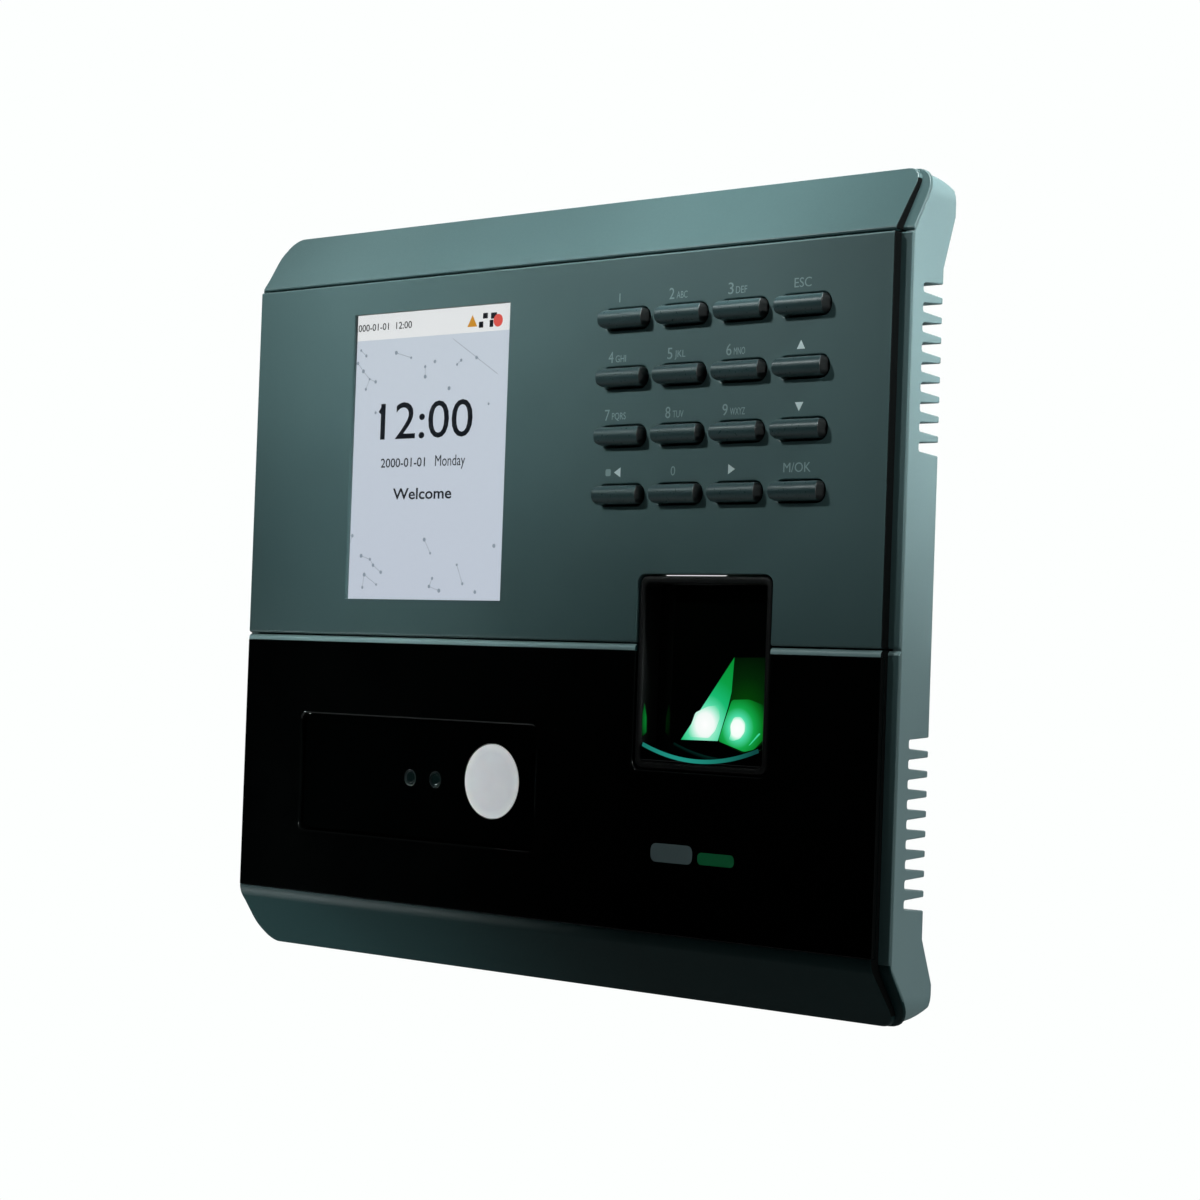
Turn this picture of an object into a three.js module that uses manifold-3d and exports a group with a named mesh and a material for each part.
// Wall-mounted fingerprint terminal with a colour screen, a sixteen-key pad, a fingerprint
// reader and a camera window. Millimetres, +Z up, the front faces -Y, and the origin is the
// centre of the wall bracket's back face.

import * as THREE from "three";
import { mergeVertices } from "three/addons/utils/BufferGeometryUtils.js";
import Module from "manifold-3d";

const wasm = await Module();
wasm.setup();

// ---------------------------------------------------------------- driving dimensions

// Body
const WIDTH = 167;            // across the side walls
const HEIGHT = 148.8;         // bottom edge to top edge
const DEPTH = 29.8;           // front face to the wall
const CORNER = 5;             // corner radius of the outline
const FIT = 0.3;              // clearance between pieces that meet
const HAIR = 0.1;             // clearance between faces that rest on each other
const BEYOND = 20;            // how far a cutter runs past what it cuts
const PAST = 1;               // the same, for a cutter that has a neighbour
const ROUND = 28;             // sides of a round piece
const SMALL_ROUND = 16;       // sides of a small one

// Front mouldings
const RIM_WIDTH = 2.3;        // strip beside the raised face
const RIM_STEP = 2;           // how far the strip lies behind the raised face
const RIM_LAG = 1;            // the same, at the top and bottom edges
const FLANGE = 0.6;           // thickness of the strip
const TOP_BAND = 12.2;        // height of the sloping band above the face
const TOP_FALL = 8.3;         // how far back that band slopes
const BOTTOM_BAND = 10.8;
const BOTTOM_FALL = 8.5;
const TOP_BEND_RADIUS = 2;
const BOTTOM_BEND_RADIUS = 4;
const EDGE_RADIUS = 1.2;      // rounding of the top and bottom edges
const FACE_CORNER = 3.5;      // corner radius of the raised face
const SPLIT_Z = -9.5;         // joint between the upper and the lower panel
const GROOVE = 0.8;           // depth of the V groove along each joint
const FACE_PLATE = 1;         // thickness of the black plate set in the lower panel
const FACE_PLATE_DROP = 1.4;  // panel's edge showing above the plate, at the joint
const FACE_PLATE_FOOT = 1.5;  // plate's bottom edge above the bottom bend

// Rear shell
const SHELL_STEP = 0.6;       // shell's outline inside the front's, top and bottom
const SHELL_WALL = 2;
const SHELL_DEPTH = 11.7;     // front face to the shell's back, between the feet
const FOOT_DEPTH = 14.9;      // front face to the back of the thicker ends
const FOOT_TOP_Z = 66.3;      // where the top foot is at its full depth
const FOOT_TOP_TOE = 56.8;    // where it starts
const FOOT_BOTTOM_Z = -67;
const FOOT_BOTTOM_TOE = -59;
const FOOT_RADIUS = 1.5;
const TOE_RADIUS = 3;
const CAVITY_SLOPE = 1;       // how far the shell's cavity narrows where the front slopes back
const END_Z = 71;             // shell's top and bottom surfaces at the back of the feet
const BOX_WIDTH = 128;        // housing behind the shell
const BOX_TOP = 51.5;
const BOX_BOTTOM = -52.5;
const BOX_CORNER = 4;

// Vent slots through the rear edge of each side
const SLOT_COUNT = 9;
const SLOT_PITCH = 3.43;
const SLOT_GROUP_Z = 39.2;    // middle of the upper group, and of the lower one below zero
const SLOT_START = 5.9;       // depth of a slot's inner end
const SLOT_INNER = 1.5;       // slot width at its inner end
const SLOT_MOUTH = 2.3;       // slot width at the shell's back
const SLOT_REACH = 7;         // how far a slot runs across the shell's back

// Screen
const SCREEN = { x: -30.54, z: 26.74, width: 43.2, height: 57.6 };
const SCREEN_LIP = 0.8;       // panel thickness around the screen opening
const SCREEN_SEAT = 1.9;      // overlap of the clear window behind that lip
const SCREEN_GLASS = 1.2;
const DISPLAY = { width: 50, height: 66, thickness: 3.2 };

// Keypad
const KEY_COLUMNS = 4;
const KEY_ROWS = 4;
const KEY_X = 21.2;           // centre of the first key
const KEY_Z = 50.5;
const KEY_PITCH_X = 13.786;
const KEY_PITCH_Z = 10.903;
const KEY_HOLE = { width: 11.3, height: 4.15, radius: 1.9 };
const KEY_GAP = 0.35;         // clearance all round a key
const KEY_PROUD = 2.4;        // height of a key above the face
const KEY_NOSE = { reach: 0.7, width: 0.9 };   // fullness of a key's curved nose
const KEY_TRAVEL = 1;
const KEY_FLANGE = 0.8;       // thickness of the collar that keeps a key in
const KEY_COLLAR = 0.6;       // how far that collar reaches past the hole
const DOME = { radius: 2.4, height: 0.7 };
const MAT = 1.2;              // thickness of the rubber mat
const PAD_MARGIN = 6;         // mat and board beyond the outer keys
const PAD_CORNER = 2;

// Fingerprint reader
const READER = { x: 41.7, z: -14.7, width: 31.4, height: 35.8, radius: 1.8 };
const BEZEL_WALL = 1.3;
const BEZEL_SET = 0.3;        // bezel's front edge behind the face
const GLASS_SET = 4.8;        // glass behind the face
const GLASS = 2.4;
const GUIDE_RISE = 4.2;       // height of the finger guide at its ends
const GUIDE_DIP = 2.9;        // how much lower its middle is
const READER_BODY = { width: 27, height: 32, back: 22, corner: 1 };

// Camera window
const WINDOW = { x: -31, z: -37.6, width: 66, height: 23.8, radius: 1.5 };
const WINDOW_SEAT = 1;        // overlap of the window behind the face plate
const WINDOW_PLATE = 1.2;
const DIFFUSER = { x: -10.4, z: -36.9, radius: 7.15, thickness: 1.9 };
const LENS_X = [-32.6, -25.6];
const LENS_Z = -37.4;
const LENS_HOLE = 1.6;
const LENS_RADIUS = 1.35;
const FLASH = { width: 5, thickness: 1.4 };

// Chassis and boards
const CHASSIS = 1.6;
const BOARD = 1.6;
const MAIN_BOARD = { x: -18, width: 80, height: 96, front: 11.4 };
const CAMERA_BOARD = { width: 58, height: 18, front: 6 };

// Screws
const CASE_SCREW = { x: 70.5, top: 60, bottom: -62, shank: 1.45, head: 2.8, headHeight: 1.5,
  crossWidth: 0.8, crossLength: 3 };
const BOSS_RADIUS = 3.6;
const BOSS_END = 9.3;         // depth of the chassis bosses' ends
const PILLAR_RADIUS = 4.2;    // shell's pillars, which stand on the bosses
const HEAD_SEAT = 11.2;       // depth of the face that a screw head rests on
const LOCK_SCREW = { depth: 21, shank: 1.45, head: 3, headHeight: 2, length: 9, boss: 4 };

// Sockets along the bottom of the housing
const NETWORK = { x: -46, width: 16, thickness: 12.4, length: 17, bore: [11.9, 8.2, 12.5] };
const USB = { x: -25, width: 14.6, thickness: 7.4, length: 14, bore: [12.6, 5.2, 10.5] };
const POWER = { x: 15, width: 9.4, thickness: 11, length: 13, boreRadius: 3.2, boreLength: 9.5 };
const MOUTH_GAP = 0.5;        // housing's hole beyond a socket's bore, all round

// Wall bracket
const STEEL = 1.5;
const BRACKET = { width: 116, top: 49, bottom: -57, radius: 5 };
const CABLE_WAY = { z: 16, width: 56, height: 24, radius: 3 };
const HOOK = { x: 44, z: 40, width: 10, reach: 2, rise: 3.5 };
const TAB = { width: 15, reach: 13 };
const WALL_HOLE = { x: 48, z: 22, radius: 2.5 };
const TAMPER = { x: 10, z: 38, radius: 1.5, collar: 2.5, length: 8.3, travel: 1.2,
  switchWidth: 6 };

// Other pieces on the main board
const TERMINALS = { count: 8, pitch: 5, height: 10, thickness: 10 };
const WIRE_BORE = { width: 2.6, z: -2, floor: 3.3 };
const WIRE_SCREW = { radius: 1.3, z: 2.5, floor: 7 };
const SHIELD = { x: -40, z: -8, width: 28, height: 28, thickness: 2.5, corner: 1 };
const RELAY = { x: 5, z: -12, width: 19, height: 15, thickness: 12, corner: 0.8 };
const COIN = { x: -45, z: 32, radius: 10, thickness: 3.2 };
const SPEAKER = { x: -72.6, z: 39, width: 13.6, height: 26, thickness: 4.6, front: 4.9,
  corner: 3 };
const CABLE = 0.4;            // thickness of the flat cables
const SCREEN_CABLE = { width: 16, turnZ: -12, tailZ: -20 };
const READER_CABLE = { width: 10, lap: 5 };

// ---------------------------------------------------------------- sizes that follow

const TOP = HEIGHT / 2;
const BOTTOM = -HEIGHT / 2;
const TOP_BEND_Z = TOP - TOP_BAND;
const BOTTOM_BEND_Z = BOTTOM + BOTTOM_BAND;
const FACE_WIDTH = WIDTH - 2 * RIM_WIDTH;
const SKIN = RIM_STEP + FLANGE;                       // thickness of the mouldings
const CHASSIS_FRONT = SKIN + FIT;
const CHASSIS_BACK = CHASSIS_FRONT + CHASSIS;
const SHELL_FLOOR = SHELL_DEPTH - SHELL_WALL;
const BOX_BACK = DEPTH - STEEL - FIT;
const BOARD_BACK = MAIN_BOARD.front + BOARD;
const PARTS_START = BOARD_BACK + HAIR;                // front of what stands on the board
const KEY_FRONT_STOP = SKIN + FIT;
const KEY_FLANGE_BACK = KEY_FRONT_STOP + KEY_FLANGE;
const DOME_TOP = KEY_FLANGE_BACK + KEY_TRAVEL + FIT;
const MAT_FRONT = DOME_TOP + DOME.height;
const PAD_BOARD_FRONT = MAT_FRONT + MAT + HAIR;
const PAD = {
  x: KEY_X + (KEY_COLUMNS - 1) * KEY_PITCH_X / 2,
  z: KEY_Z - (KEY_ROWS - 1) * KEY_PITCH_Z / 2,
  width: (KEY_COLUMNS - 1) * KEY_PITCH_X + KEY_HOLE.width + PAD_MARGIN,
  height: (KEY_ROWS - 1) * KEY_PITCH_Z + KEY_HOLE.height + PAD_MARGIN,
};
const SCREEN_BACK = SCREEN_LIP + HAIR + SCREEN_GLASS;
const FACE_PLATE_TOP = SPLIT_Z - FACE_PLATE_DROP;
const FACE_PLATE_BOTTOM = BOTTOM_BEND_Z + FACE_PLATE_FOOT;
const WINDOW_FRONT = FACE_PLATE + HAIR;
const BEZEL_BACK = GLASS_SET + GLASS + HAIR;

// ---------------------------------------------------------------- materials

const finish = (color, roughness, metalness = 0) =>
  new THREE.MeshStandardMaterial({ color, roughness, metalness });
const slatePlastic = () => finish(0x4b5c5f, 0.55);
const slateTrim = () => finish(0x6a8284, 0.55);
const paleShellPlastic = () => finish(0x6f8587, 0.55);
const glossBlack = () => finish(0x050606, 0.08);
const blackPlastic = () => finish(0x121414, 0.5);
const chassisPlastic = () => finish(0x2c3234, 0.6);
const keyPlastic = () => finish(0x5f7375, 0.4);
const clearAcrylic = () => finish(0xbfc8d8, 0.05);
const smokedAcrylic = () => finish(0x020303, 0.05);
const opalPlastic = () => finish(0xd9dcdc, 0.4);
const siliconeRubber = () => finish(0x8a9092, 0.8);
const opticalGlass = () => finish(0x0d3320, 0.03);
const boardLaminate = () => finish(0x12502f, 0.5);
const nickelSteel = () => finish(0xb8b9b6, 0.3, 1);
const zincSteel = () => finish(0xa9adae, 0.4, 1);
const greenTerminal = () => finish(0x2c8a4a, 0.5);
const cablePolyester = () => finish(0xd6d2c4, 0.5);

// ---------------------------------------------------------------- solids

// A closed three.js geometry as a solid that can be cut and joined.
function toSolid(geometry) {
  const bare = geometry.clone();
  bare.deleteAttribute("normal");
  bare.deleteAttribute("uv");
  const merged = mergeVertices(bare, 1e-5);
  return new wasm.Manifold(new wasm.Mesh({
    numProp: 3,
    vertProperties: new Float32Array(merged.attributes.position.array),
    triVerts: new Uint32Array(merged.index.array),
  }));
}

function toGeometry(solid) {
  const mesh = solid.getMesh();
  const geometry = new THREE.BufferGeometry();
  geometry.setAttribute("position", new THREE.BufferAttribute(mesh.vertProperties, 3));
  geometry.setIndex(new THREE.BufferAttribute(mesh.triVerts, 1));
  geometry.computeVertexNormals();
  return geometry;
}

// A closed outline through corners [a, b, radius]; a corner with no radius stays sharp.
function outline(corners) {
  const shape = new THREE.Shape();
  const points = corners.map(([a, b]) => new THREE.Vector2(a, b));
  const count = points.length;
  points.forEach((here, i) => {
    const toBefore = points[(i + count - 1) % count].clone().sub(here).normalize();
    const toAfter = points[(i + 1) % count].clone().sub(here).normalize();
    const radius = corners[i][2] ?? 0;
    const half = Math.acos(THREE.MathUtils.clamp(toBefore.dot(toAfter), -1, 1)) / 2;
    const setback = radius / Math.tan(half);
    const start = here.clone().addScaledVector(toBefore, setback);
    const end = here.clone().addScaledVector(toAfter, setback);
    if (i === 0) shape.moveTo(start.x, start.y);
    else shape.lineTo(start.x, start.y);
    if (radius > 0) {
      const inward = toBefore.clone().add(toAfter).normalize();
      const centre = here.clone().addScaledVector(inward, radius / Math.sin(half));
      const from = start.clone().sub(centre).angle();
      const to = end.clone().sub(centre).angle();
      const clockwise = toAfter.cross(toBefore) < 0;
      shape.absarc(centre.x, centre.y, radius, from, to, clockwise);
    }
  });
  shape.closePath();
  return shape;
}

function rectangle(x, z, width, height, radius = 0) {
  const left = x - width / 2;
  const right = x + width / 2;
  const low = z - height / 2;
  const high = z + height / 2;
  return outline([
    [left, low, radius], [right, low, radius], [right, high, radius], [left, high, radius],
  ]);
}

function circle(x, z, radius) {
  return new THREE.Shape().absarc(x, z, radius, 0, 2 * Math.PI, false);
}

function extrude(shape, length, segments) {
  return new THREE.ExtrudeGeometry(shape, {
    depth: length, bevelEnabled: false, curveSegments: segments,
  });
}

// An outline in (depth, z), run along X from x0 to x1.
function alongX(shape, x0, x1, segments = 3) {
  const turn = new THREE.Matrix4().set(0, 0, 1, x0, 1, 0, 0, 0, 0, 1, 0, 0, 0, 0, 0, 1);
  return toSolid(extrude(shape, x1 - x0, segments).applyMatrix4(turn));
}

// An outline in (x, z), run along the depth from y0 to y1.
function alongY(shape, y0, y1, segments = 3) {
  const turn = new THREE.Matrix4().makeRotationX(Math.PI / 2).setPosition(0, y1, 0);
  return toSolid(extrude(shape, y1 - y0, segments).applyMatrix4(turn));
}

// An outline in (x, depth), run along Z from z0 to z1.
function alongZ(shape, z0, z1, segments = 3) {
  const turn = new THREE.Matrix4().setPosition(0, 0, z0);
  return toSolid(extrude(shape, z1 - z0, segments).applyMatrix4(turn));
}

const disc = (x, z, radius, y0, y1, sides = ROUND) => alongY(circle(x, z, radius), y0, y1, sides / 2);
const rod = (x, y, radius, z0, z1, sides = SMALL_ROUND) =>
  alongZ(circle(x, y, radius), z0, z1, sides / 2);
const plate = (x, z, width, height, y0, y1, radius = 0) =>
  alongY(rectangle(x, z, width, height, radius), y0, y1);

// The layer of the body from z0 to z1.
const layer = (z0, z1) => plate(0, (z0 + z1) / 2, 2 * WIDTH, z1 - z0, -BEYOND, DEPTH);

// ---------------------------------------------------------------- scene

const terminal = new THREE.Group();
const faceFrame = new THREE.Group();     // its y is the depth behind the front face
faceFrame.position.y = -DEPTH;
terminal.add(faceFrame);

function addPart(name, solid, material, x = 0, y = 0, z = 0) {
  const mesh = new THREE.Mesh(toGeometry(solid), material);
  mesh.name = name;
  mesh.position.set(x, y, z);
  faceFrame.add(mesh);
  return mesh;
}

// ---------------------------------------------------------------- front mouldings

// The side profile of a layer of the front: its front line and its back line.
function frontProfile(step, lag, backStep, backLag) {
  return outline([
    [TOP_FALL + lag, TOP, EDGE_RADIUS / 2],
    [step, TOP_BEND_Z, TOP_BEND_RADIUS],
    [step, BOTTOM_BEND_Z, BOTTOM_BEND_RADIUS],
    [BOTTOM_FALL + lag, BOTTOM, EDGE_RADIUS / 2],
    [BOTTOM_FALL + backLag, BOTTOM],
    [backStep, BOTTOM_BEND_Z],
    [backStep, TOP_BEND_Z],
    [TOP_FALL + backLag, TOP],
  ]);
}

function makeFront() {
  const backLag = RIM_LAG + FLANGE;
  const raised = alongX(frontProfile(0, 0, SKIN, backLag), -FACE_WIDTH / 2, FACE_WIDTH / 2)
    .intersect(plate(0, 0, FACE_WIDTH, HEIGHT, -BEYOND, DEPTH, FACE_CORNER));
  const rim = alongX(frontProfile(RIM_STEP, RIM_LAG, SKIN, backLag), -WIDTH / 2, WIDTH / 2)
    .intersect(plate(0, 0, WIDTH, HEIGHT, -BEYOND, DEPTH, CORNER));
  return raised.add(rim);
}

// A V groove across the face and the rim strips at height z.
function groove(z) {
  const vee = (front, x0, x1) => alongX(outline([
    [front - GROOVE, z], [front, z - GROOVE], [front + GROOVE, z], [front, z + GROOVE],
  ]), x0, x1);
  return vee(0, -FACE_WIDTH / 2 - HAIR, FACE_WIDTH / 2 + HAIR)
    .add(vee(RIM_STEP, -WIDTH, -FACE_WIDTH / 2))
    .add(vee(RIM_STEP, FACE_WIDTH / 2, WIDTH));
}

const front = makeFront().subtract(groove(TOP_BEND_Z)).subtract(groove(SPLIT_Z));
const readerHole = plate(READER.x, READER.z, READER.width, READER.height, -BEYOND, DEPTH,
  READER.radius);

function keyPlaces() {
  const places = [];
  for (let row = 0; row < KEY_ROWS; row += 1) {
    for (let column = 0; column < KEY_COLUMNS; column += 1) {
      places.push([KEY_X + column * KEY_PITCH_X, KEY_Z - row * KEY_PITCH_Z]);
    }
  }
  return places;
}

function makeUpperPanel() {
  const windowWidth = SCREEN.width + 2 * SCREEN_SEAT + 2 * HAIR;
  const windowHeight = SCREEN.height + 2 * SCREEN_SEAT + 2 * HAIR;
  let panel = front.intersect(layer(SPLIT_Z + FIT / 2, TOP_BEND_Z - FIT / 2))
    .subtract(plate(SCREEN.x, SCREEN.z, SCREEN.width, SCREEN.height, -BEYOND, DEPTH))
    .subtract(plate(SCREEN.x, SCREEN.z, windowWidth, windowHeight, SCREEN_LIP, DEPTH))
    .subtract(plate(SCREEN.x, SCREEN.z, DISPLAY.width + 2 * FIT, DISPLAY.height + 2 * FIT,
      SCREEN_BACK, DEPTH))
    .subtract(readerHole);
  for (const [x, z] of keyPlaces()) {
    const hole = plate(x, z, KEY_HOLE.width, KEY_HOLE.height, -BEYOND, DEPTH, KEY_HOLE.radius);
    panel = panel.subtract(hole);
  }
  return panel;
}

// The black plate's outline, from y0 to y1.
function facePlate(y0, y1, extra = 0) {
  const middle = (FACE_PLATE_TOP + FACE_PLATE_BOTTOM) / 2;
  return plate(0, middle, FACE_WIDTH + extra, FACE_PLATE_TOP - FACE_PLATE_BOTTOM + extra, y0, y1);
}

function makeLowerPanel() {
  const seat = 2 * WINDOW_SEAT + 2 * HAIR;
  return front.intersect(layer(BOTTOM - PAST, SPLIT_Z - FIT / 2))
    .subtract(facePlate(-BEYOND, FACE_PLATE + HAIR, 2 * HAIR))
    .subtract(plate(WINDOW.x, WINDOW.z, WINDOW.width + seat, WINDOW.height + seat,
      -BEYOND, DEPTH, WINDOW.radius))
    .subtract(readerHole);
}

function makeFacePlate() {
  return facePlate(0, FACE_PLATE).subtract(readerHole)
    .subtract(plate(WINDOW.x, WINDOW.z, WINDOW.width, WINDOW.height, -BEYOND, DEPTH,
      WINDOW.radius));
}

addPart("top_trim", front.intersect(layer(TOP_BEND_Z + FIT / 2, TOP + PAST)), slateTrim());
addPart("upper_panel", makeUpperPanel(), slatePlastic());
addPart("lower_panel", makeLowerPanel(), slatePlastic());
addPart("lower_face", makeFacePlate(), glossBlack());

// ---------------------------------------------------------------- chassis behind the panels

function screwPlaces() {
  const { x, top, bottom } = CASE_SCREW;
  return [[-x, top], [x, top], [-x, bottom], [x, bottom]];
}

function makeChassis() {
  const lag = RIM_LAG + FLANGE + FIT;
  const cavityWidth = WIDTH - 2 * SHELL_WALL - 2 * FIT;
  const cavityHeight = HEIGHT - 2 * TOP_FALL;
  let chassis = alongX(
    frontProfile(CHASSIS_FRONT, lag, CHASSIS_BACK, lag + CHASSIS),
    -cavityWidth / 2, cavityWidth / 2,
  ).intersect(plate(0, 0, cavityWidth, cavityHeight, -BEYOND, DEPTH, CORNER))
    .subtract(plate(SCREEN.x, SCREEN.z, DISPLAY.width + 2 * FIT, DISPLAY.height + 2 * FIT,
      -BEYOND, DEPTH))
    .subtract(plate(PAD.x, PAD.z, PAD.width - PAD_MARGIN + 3 * KEY_COLLAR,
      PAD.height - PAD_MARGIN + 3 * KEY_COLLAR, -BEYOND, DEPTH))
    .subtract(plate(READER.x, READER.z, READER.width, READER.height, -BEYOND, DEPTH,
      READER.radius))
    .subtract(plate(WINDOW.x, WINDOW.z, WINDOW.width - BEZEL_WALL, WINDOW.height - BEZEL_WALL,
      -BEYOND, DEPTH));
  for (const [x, z] of screwPlaces()) {
    chassis = chassis.add(disc(x, z, BOSS_RADIUS, CHASSIS_BACK - HAIR, BOSS_END));
    chassis = chassis.subtract(disc(x, z, CASE_SCREW.shank + HAIR, CHASSIS_BACK, DEPTH));
  }
  return chassis;
}

addPart("chassis", makeChassis(), chassisPlastic());

// ---------------------------------------------------------------- screen

const sheet = (width, height, y0, y1, radius = 0) => plate(0, 0, width, height, y0, y1, radius);

addPart("screen_window",
  sheet(SCREEN.width + 2 * SCREEN_SEAT, SCREEN.height + 2 * SCREEN_SEAT, 0, SCREEN_GLASS),
  clearAcrylic(), SCREEN.x, SCREEN_LIP + HAIR, SCREEN.z);
addPart("display", sheet(DISPLAY.width, DISPLAY.height, 0, DISPLAY.thickness),
  blackPlastic(), SCREEN.x, SCREEN_BACK + HAIR, SCREEN.z);

// ---------------------------------------------------------------- keypad

// A key: a bar with a curved nose in front of the panel and a collar behind it. Its own
// origin lies on the front face's plane.
function makeKey() {
  const half = KEY_HOLE.height / 2 - KEY_GAP;
  const length = KEY_HOLE.width - 2 * KEY_GAP;
  const nose = new THREE.Shape();
  nose.moveTo(KEY_FLANGE_BACK, half);
  nose.lineTo(0, half);
  const reach = -KEY_PROUD * KEY_NOSE.reach;
  nose.quadraticCurveTo(reach, half * KEY_NOSE.width, -KEY_PROUD, 0);
  nose.quadraticCurveTo(reach, -half * KEY_NOSE.width, 0, -half);
  nose.lineTo(KEY_FLANGE_BACK, -half);
  nose.closePath();
  const collar = sheet(KEY_HOLE.width + 2 * KEY_COLLAR, KEY_HOLE.height + 2 * KEY_COLLAR,
    KEY_FRONT_STOP, KEY_FLANGE_BACK);
  const plan = sheet(length, 2 * half, -KEY_PROUD - PAST, KEY_FLANGE_BACK, KEY_HOLE.radius - KEY_GAP);
  return alongX(nose, -length / 2, length / 2, 4).intersect(plan).add(collar);
}

const KEY_NAMES = [
  "key_1", "key_2", "key_3", "key_esc",
  "key_4", "key_5", "key_6", "key_up",
  "key_7", "key_8", "key_9", "key_down",
  "key_left", "key_0", "key_right", "key_ok",
];
keyPlaces().forEach(([x, z], i) => addPart(KEY_NAMES[i], makeKey(), keyPlastic(), x, 0, z));

function makeMat() {
  let mat = sheet(PAD.width, PAD.height, 0, MAT, PAD_CORNER);
  for (const [x, z] of keyPlaces()) {
    mat = mat.add(disc(x - PAD.x, z - PAD.z, DOME.radius, -DOME.height, MAT / 2,
      SMALL_ROUND));
  }
  return mat;
}

addPart("keypad_mat", makeMat(), siliconeRubber(), PAD.x, MAT_FRONT, PAD.z);
addPart("keypad_board", sheet(PAD.width, PAD.height, 0, BOARD), boardLaminate(),
  PAD.x, PAD_BOARD_FRONT, PAD.z);

// ---------------------------------------------------------------- fingerprint reader

function makeBezel() {
  const width = READER.width - 2 * FIT;
  const height = READER.height - 2 * FIT;
  return sheet(width, height, BEZEL_SET, BEZEL_BACK, READER.radius)
    .subtract(sheet(width - 2 * BEZEL_WALL, height - 2 * BEZEL_WALL, -BEYOND, DEPTH,
      READER.radius / 2));
}

// The guide's upper edge is a shallow arc that the fingertip rests in.
function makeGuide() {
  const half = READER.width / 2 - FIT - BEZEL_WALL - HAIR;
  const low = -READER.height / 2 + FIT + BEZEL_WALL + HAIR;
  const edge = new THREE.Shape();
  edge.moveTo(-half, low);
  edge.lineTo(half, low);
  edge.lineTo(half, low + GUIDE_RISE);
  edge.quadraticCurveTo(0, low + GUIDE_RISE - 2 * GUIDE_DIP, -half, low + GUIDE_RISE);
  edge.closePath();
  return alongY(edge, BEZEL_SET + HAIR, GLASS_SET - HAIR, 12).intersect(insideBezel(0, GLASS_SET));
}

// The space inside the bezel, less a hair of clearance, from y0 to y1.
function insideBezel(y0, y1) {
  const inset = 2 * (FIT + BEZEL_WALL + HAIR);
  return sheet(READER.width - inset, READER.height - inset, y0, y1, READER.radius / 2);
}

addPart("reader_bezel", makeBezel(), blackPlastic(), READER.x, 0, READER.z);
addPart("finger_guide", makeGuide(), glossBlack(), READER.x, 0, READER.z);
addPart("reader_glass", insideBezel(0, GLASS), opticalGlass(), READER.x, GLASS_SET, READER.z);
addPart("reader_body",
  sheet(READER_BODY.width, READER_BODY.height, BEZEL_BACK + HAIR, READER_BODY.back,
    READER_BODY.corner),
  blackPlastic(), READER.x, 0, READER.z);
addPart("reader_board", sheet(READER_BODY.width, READER_BODY.height, 0, BOARD),
  boardLaminate(), READER.x, READER_BODY.back + HAIR, READER.z);

// ---------------------------------------------------------------- camera window

function makeCameraWindow() {
  let window = plate(WINDOW.x, WINDOW.z, WINDOW.width + 2 * WINDOW_SEAT,
    WINDOW.height + 2 * WINDOW_SEAT, 0, WINDOW_PLATE, WINDOW.radius)
    .subtract(disc(DIFFUSER.x, DIFFUSER.z, DIFFUSER.radius + HAIR, -BEYOND, DEPTH));
  for (const x of LENS_X) {
    window = window.subtract(disc(x, LENS_Z, LENS_HOLE, -BEYOND, DEPTH, SMALL_ROUND));
  }
  return window;
}

function makeLens() {
  const profile = new THREE.Shape();
  profile.moveTo(0, 0);
  profile.quadraticCurveTo(LENS_RADIUS, 0, LENS_RADIUS, LENS_RADIUS / 2);
  profile.lineTo(LENS_RADIUS, CAMERA_BOARD.front - WINDOW_FRONT - HAIR);
  profile.lineTo(0, CAMERA_BOARD.front - WINDOW_FRONT - HAIR);
  return toSolid(new THREE.LatheGeometry(profile.getPoints(4), SMALL_ROUND));
}

addPart("camera_window", makeCameraWindow(), smokedAcrylic(), 0, WINDOW_FRONT, 0);
addPart("light_diffuser", disc(0, 0, DIFFUSER.radius, 0, DIFFUSER.thickness), opalPlastic(),
  DIFFUSER.x, WINDOW_FRONT, DIFFUSER.z);
LENS_X.forEach((x, i) => {
  addPart(i === 0 ? "camera_lens" : "infrared_lens", makeLens(), opticalGlass(),
    x, WINDOW_FRONT, LENS_Z);
});
addPart("camera_board", sheet(CAMERA_BOARD.width, CAMERA_BOARD.height, 0, BOARD),
  boardLaminate(), WINDOW.x, CAMERA_BOARD.front, WINDOW.z);
addPart("flash_led", sheet(FLASH.width, FLASH.width, 0, FLASH.thickness), opalPlastic(),
  DIFFUSER.x, CAMERA_BOARD.front - FLASH.thickness - HAIR, DIFFUSER.z);

// ---------------------------------------------------------------- rear shell

function slotCutter(z) {
  const cut = SHELL_DEPTH + PAST;
  const grow = (SLOT_MOUTH - SLOT_INNER) / (SHELL_DEPTH - SLOT_START);
  const mouth = SLOT_INNER + grow * (cut - SLOT_START);
  return alongX(outline([
    [SLOT_START, z - SLOT_INNER / 2, SLOT_INNER / 3], [cut, z - mouth / 2],
    [cut, z + mouth / 2], [SLOT_START, z + SLOT_INNER / 2, SLOT_INNER / 3],
  ]), WIDTH / 2 - SLOT_REACH, WIDTH / 2 + PAST, 1);
}

function allSlots() {
  let slots = null;
  for (const group of [SLOT_GROUP_Z, -SLOT_GROUP_Z]) {
    for (let i = 0; i < SLOT_COUNT; i += 1) {
      const z = group + (i - (SLOT_COUNT - 1) / 2) * SLOT_PITCH;
      const right = slotCutter(z);
      const left = right.mirror([1, 0, 0]);
      slots = slots ? slots.add(right).add(left) : right.add(left);
    }
  }
  return slots;
}

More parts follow.
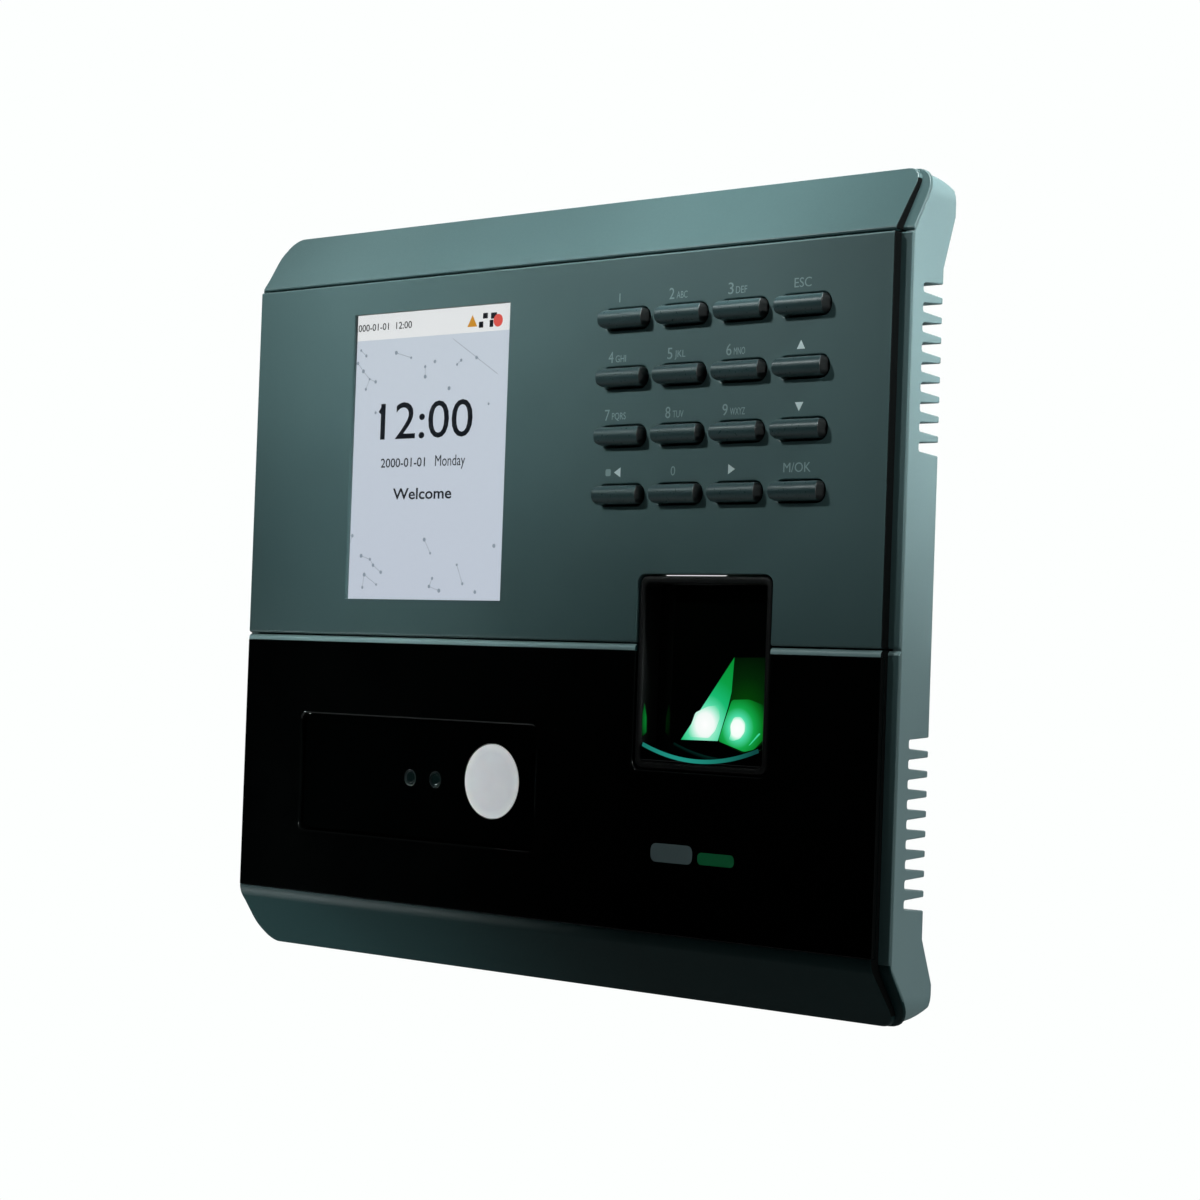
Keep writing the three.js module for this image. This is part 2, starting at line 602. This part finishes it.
function makeTray() {
  const edge = SKIN + HAIR;
  const lag = RIM_LAG + FLANGE + HAIR;
  const outer = alongX(outline([
    [TOP_FALL + lag, TOP], [edge, TOP_BEND_Z], [edge, BOTTOM_BEND_Z], [BOTTOM_FALL + lag, BOTTOM],
    [FOOT_DEPTH, -END_Z, FOOT_RADIUS], [FOOT_DEPTH, FOOT_BOTTOM_Z, FOOT_RADIUS],
    [SHELL_DEPTH, FOOT_BOTTOM_TOE, TOE_RADIUS], [SHELL_DEPTH, FOOT_TOP_TOE, TOE_RADIUS],
    [FOOT_DEPTH, FOOT_TOP_Z, FOOT_RADIUS], [FOOT_DEPTH, END_Z, FOOT_RADIUS],
  ]), -WIDTH / 2, WIDTH / 2)
    .intersect(plate(0, 0, WIDTH, HEIGHT - 2 * SHELL_STEP, -BEYOND, DEPTH, CORNER));
  const inset = SHELL_WALL;
  const inner = alongX(outline([
    [-BEYOND, TOP - inset], [-BEYOND, BOTTOM + inset], [BOTTOM_FALL, BOTTOM + inset + CAVITY_SLOPE],
    [FOOT_DEPTH - inset, -END_Z + inset], [FOOT_DEPTH - inset, FOOT_BOTTOM_Z],
    [SHELL_FLOOR, FOOT_BOTTOM_TOE], [SHELL_FLOOR, FOOT_TOP_TOE],
    [FOOT_DEPTH - inset, FOOT_TOP_Z], [FOOT_DEPTH - inset, END_Z - inset],
    [TOP_FALL, TOP - inset - CAVITY_SLOPE],
  ]), -WIDTH / 2 + inset, WIDTH / 2 - inset)
    .intersect(plate(0, 0, WIDTH - 2 * inset, HEIGHT - 2 * inset, -2 * BEYOND, DEPTH,
      CORNER - inset));
  return outer.subtract(inner);
}

function makeShell() {
  const boxHeight = BOX_TOP - BOX_BOTTOM;
  const boxZ = (BOX_TOP + BOX_BOTTOM) / 2;
  const wall = SHELL_WALL;
  let shell = makeTray().subtract(allSlots())
    .add(plate(0, boxZ, BOX_WIDTH, boxHeight, SHELL_FLOOR, BOX_BACK, BOX_CORNER));
  for (const [x, z] of screwPlaces()) {
    shell = shell.add(disc(x, z, PILLAR_RADIUS, BOSS_END + HAIR, SHELL_DEPTH));
  }
  shell = shell.subtract(plate(0, boxZ, BOX_WIDTH - 2 * wall, boxHeight - 2 * wall,
    -BEYOND, BOX_BACK - wall, BOX_CORNER - wall));
  shell = shell.add(lockBoss());
  for (const [x, z] of screwPlaces()) {
    shell = shell.subtract(disc(x, z, CASE_SCREW.shank + FIT, -BEYOND, DEPTH, SMALL_ROUND))
      .subtract(disc(x, z, CASE_SCREW.head + FIT, HEAD_SEAT, DEPTH, SMALL_ROUND));
  }
  return shell.subtract(socketMouths()).subtract(backHoles()).subtract(lockHole(HAIR));
}

// The boss inside the housing that the lock screw bites into.
function lockBoss() {
  return rod(0, LOCK_SCREW.depth, LOCK_SCREW.boss,
    BOX_BOTTOM + SHELL_WALL / 2, BOX_BOTTOM + LOCK_SCREW.length + SHELL_WALL);
}

function lockHole(clearance) {
  return rod(0, LOCK_SCREW.depth, LOCK_SCREW.shank + clearance,
    BOX_BOTTOM - BEYOND / 2, BOX_BOTTOM + LOCK_SCREW.length);
}

const midDepth = (socket) => PARTS_START + socket.thickness / 2;

// The three holes in the housing's bottom that plugs go through.
function socketMouths() {
  const low = BOX_BOTTOM - PAST;
  const high = BOX_BOTTOM + SHELL_WALL + PAST;
  const mouth = (socket) => alongZ(rectangle(socket.x, midDepth(socket),
    socket.bore[0] + 2 * MOUTH_GAP, socket.bore[1] + 2 * MOUTH_GAP), low, high);
  return mouth(NETWORK).add(mouth(USB))
    .add(rod(POWER.x, midDepth(POWER), POWER.boreRadius + MOUTH_GAP, low, high, ROUND));
}

// The holes in the housing's back: wires, bracket hooks and the tamper plunger.
function backHoles() {
  const start = BOX_BACK - SHELL_WALL - PAST;
  let holes = plate(0, CABLE_WAY.z, CABLE_WAY.width, CABLE_WAY.height, start, DEPTH,
    CABLE_WAY.radius)
    .add(disc(TAMPER.x, TAMPER.z, TAMPER.radius + FIT, start, DEPTH, SMALL_ROUND));
  const low = HOOK.z - STEEL - FIT;
  const high = HOOK.z + HOOK.rise + 2 * FIT;
  for (const side of [-1, 1]) {
    holes = holes.add(plate(side * HOOK.x, (low + high) / 2, HOOK.width + 4 * FIT, high - low,
      start, DEPTH));
  }
  return holes;
}

addPart("rear_shell", makeShell(), paleShellPlastic());

// ---------------------------------------------------------------- case screws

// A pan-head screw along the depth, its head's seat at y = 0 and its tip towards the front.
function makeCaseScrew() {
  const length = HEAD_SEAT - CHASSIS_BACK - PAST;
  const { shank, head, headHeight, crossWidth, crossLength } = CASE_SCREW;
  const cross = sheet(crossWidth, crossLength, headHeight / 2, 2 * headHeight)
    .add(sheet(crossLength, crossWidth, headHeight / 2, 2 * headHeight));
  return disc(0, 0, shank, -length, headHeight / 2, SMALL_ROUND)
    .add(disc(0, 0, head, HAIR, headHeight, SMALL_ROUND)).subtract(cross);
}

const SCREW_NAMES = ["case_screw_top_left", "case_screw_top_right",
  "case_screw_bottom_left", "case_screw_bottom_right"];
screwPlaces().forEach(([x, z], i) => {
  addPart(SCREW_NAMES[i], makeCaseScrew(), zincSteel(), x, HEAD_SEAT, z);
});

// ---------------------------------------------------------------- main board and what is on it

addPart("main_board", sheet(MAIN_BOARD.width, MAIN_BOARD.height, 0, BOARD), boardLaminate(),
  MAIN_BOARD.x, MAIN_BOARD.front, 0);

// A socket on the board whose mouth looks down; its own origin is the middle of its mouth.
function makeSocket({ width, thickness, length }, bore) {
  return alongZ(rectangle(0, 0, width, thickness), 0, length).subtract(bore);
}

const socketZ = BOX_BOTTOM + SHELL_WALL + FIT;
const squareBore = ([width, thickness, depth]) =>
  alongZ(rectangle(0, 0, width, thickness), -PAST, depth);

addPart("network_socket", makeSocket(NETWORK, squareBore(NETWORK.bore)), nickelSteel(),
  NETWORK.x, midDepth(NETWORK), socketZ);
addPart("usb_socket", makeSocket(USB, squareBore(USB.bore)), nickelSteel(),
  USB.x, midDepth(USB), socketZ);
addPart("power_socket",
  makeSocket(POWER, rod(0, 0, POWER.boreRadius, -PAST, POWER.boreLength, ROUND)),
  blackPlastic(), POWER.x, midDepth(POWER), socketZ);

function makeTerminals() {
  const { count, pitch, height, thickness } = TERMINALS;
  let block = sheet(count * pitch, height, 0, thickness);
  for (let i = 0; i < count; i += 1) {
    const x = (i - (count - 1) / 2) * pitch;
    block = block
      .subtract(plate(x, WIRE_BORE.z, WIRE_BORE.width, WIRE_BORE.width, WIRE_BORE.floor,
        thickness + PAST))
      .subtract(disc(x, WIRE_SCREW.z, WIRE_SCREW.radius, WIRE_SCREW.floor, thickness + PAST,
        SMALL_ROUND));
  }
  return block;
}

addPart("wire_terminals", makeTerminals(), greenTerminal(), 0, PARTS_START, CABLE_WAY.z);
addPart("processor_shield",
  sheet(SHIELD.width, SHIELD.height, 0, SHIELD.thickness, SHIELD.corner), nickelSteel(),
  SHIELD.x, PARTS_START, SHIELD.z);
addPart("door_relay", sheet(RELAY.width, RELAY.height, 0, RELAY.thickness, RELAY.corner),
  blackPlastic(), RELAY.x, PARTS_START, RELAY.z);
addPart("coin_cell", disc(0, 0, COIN.radius, 0, COIN.thickness), nickelSteel(),
  COIN.x, PARTS_START, COIN.z);
addPart("speaker",
  sheet(SPEAKER.width, SPEAKER.height, 0, SPEAKER.thickness, SPEAKER.corner), blackPlastic(),
  SPEAKER.x, SPEAKER.front, SPEAKER.z);

// ---------------------------------------------------------------- flat cables

// A thin ribbon with two bends, from the back of the display to the main board.
function makeScreenCable() {
  const start = SCREEN_BACK + DISPLAY.thickness + 2 * HAIR;
  const end = MAIN_BOARD.front - HAIR;
  const bend = (end - start) / 4;
  const { width, turnZ, tailZ } = SCREEN_CABLE;
  return alongX(outline([
    [start, 0], [start + CABLE, 0], [start + CABLE, turnZ, bend], [end, turnZ, bend + CABLE],
    [end, tailZ], [end - CABLE, tailZ], [end - CABLE, turnZ - CABLE, bend],
    [start, turnZ - CABLE, bend + CABLE],
  ]), -width / 2, width / 2);
}

// A ribbon across the back of the reader's board, along to the main board.
function makeReaderCable() {
  const start = READER_BODY.back + BOARD + 2 * HAIR;
  const edge = MAIN_BOARD.x + MAIN_BOARD.width / 2;
  const foot = BOARD_BACK + HAIR;
  const reader = READER.x - READER_BODY.width / 2 - 2 * FIT;
  const { width, lap } = READER_CABLE;
  return alongZ(outline([
    [edge - lap, foot], [edge + CABLE, foot], [reader, start], [READER.x, start],
    [READER.x, start + CABLE], [reader - CABLE, start + CABLE],
    [edge, foot + CABLE], [edge - lap, foot + CABLE],
  ]), READER.z - width / 2, READER.z + width / 2);
}

addPart("screen_cable", makeScreenCable(), cablePolyester(), SCREEN.x, 0, SCREEN.z);
addPart("reader_cable", makeReaderCable(), cablePolyester());

// ---------------------------------------------------------------- tamper switch

const tamperEnd = DEPTH - TAMPER.length;
addPart("tamper_switch",
  sheet(TAMPER.switchWidth, TAMPER.switchWidth, PARTS_START, tamperEnd - TAMPER.travel - FIT),
  blackPlastic(), TAMPER.x, 0, TAMPER.z);
addPart("tamper_plunger",
  disc(0, 0, TAMPER.radius, 0, TAMPER.length, SMALL_ROUND)
    .add(disc(0, 0, TAMPER.collar, TAMPER.travel * 2, TAMPER.travel * 3, SMALL_ROUND)),
  opalPlastic(), TAMPER.x, tamperEnd, TAMPER.z);

// ---------------------------------------------------------------- wall bracket

function makeBracket() {
  const { width, top, bottom, radius } = BRACKET;
  const faceY = DEPTH - STEEL;
  let bracket = plate(0, (top + bottom) / 2, width, top - bottom, faceY, DEPTH, radius)
    .subtract(plate(0, CABLE_WAY.z, CABLE_WAY.width, CABLE_WAY.height, -BEYOND, DEPTH + PAST,
      CABLE_WAY.radius))
    .subtract(disc(TAMPER.x, TAMPER.z, TAMPER.radius + FIT, -BEYOND, DEPTH + PAST, SMALL_ROUND));
  for (const x of [-WALL_HOLE.x, WALL_HOLE.x]) {
    for (const z of [-WALL_HOLE.z, WALL_HOLE.z]) {
      bracket = bracket.subtract(disc(x, z, WALL_HOLE.radius, -BEYOND, DEPTH + PAST));
    }
  }
  const inner = BOX_BACK - SHELL_WALL - HOOK.reach;
  const hook = alongX(outline([
    [faceY + STEEL / 2, HOOK.z - STEEL], [faceY + STEEL / 2, HOOK.z],
    [inner + STEEL, HOOK.z], [inner + STEEL, HOOK.z + HOOK.rise],
    [inner, HOOK.z + HOOK.rise], [inner, HOOK.z - STEEL],
  ]), -HOOK.width / 2, HOOK.width / 2);
  const tab = alongX(outline([
    [DEPTH, bottom - STEEL], [DEPTH, bottom + BRACKET.radius], [faceY, bottom + BRACKET.radius],
    [faceY, bottom], [faceY - TAB.reach, bottom], [faceY - TAB.reach, bottom - STEEL],
  ]), -TAB.width / 2, TAB.width / 2);
  return bracket.add(hook.translate([-HOOK.x, 0, 0])).add(hook.translate([HOOK.x, 0, 0]))
    .add(tab).subtract(lockHole(FIT));
}

// The screw that locks the terminal to the bracket, from below, with its tip up.
function makeLockScrew() {
  const { shank, head, headHeight } = LOCK_SCREW;
  const rise = BOX_BOTTOM + LOCK_SCREW.length - PAST - (BRACKET.bottom - STEEL);
  const hexagon = rod(0, 0, head / 2, -headHeight - PAST, -headHeight / 2, 6);
  return rod(0, 0, shank, -HAIR - headHeight / 2, rise)
    .add(rod(0, 0, head, -headHeight, -HAIR, ROUND)).subtract(hexagon);
}

addPart("wall_bracket", makeBracket(), zincSteel());
addPart("lock_screw", makeLockScrew(), zincSteel(),
  0, LOCK_SCREW.depth, BRACKET.bottom - STEEL);

export default terminal;
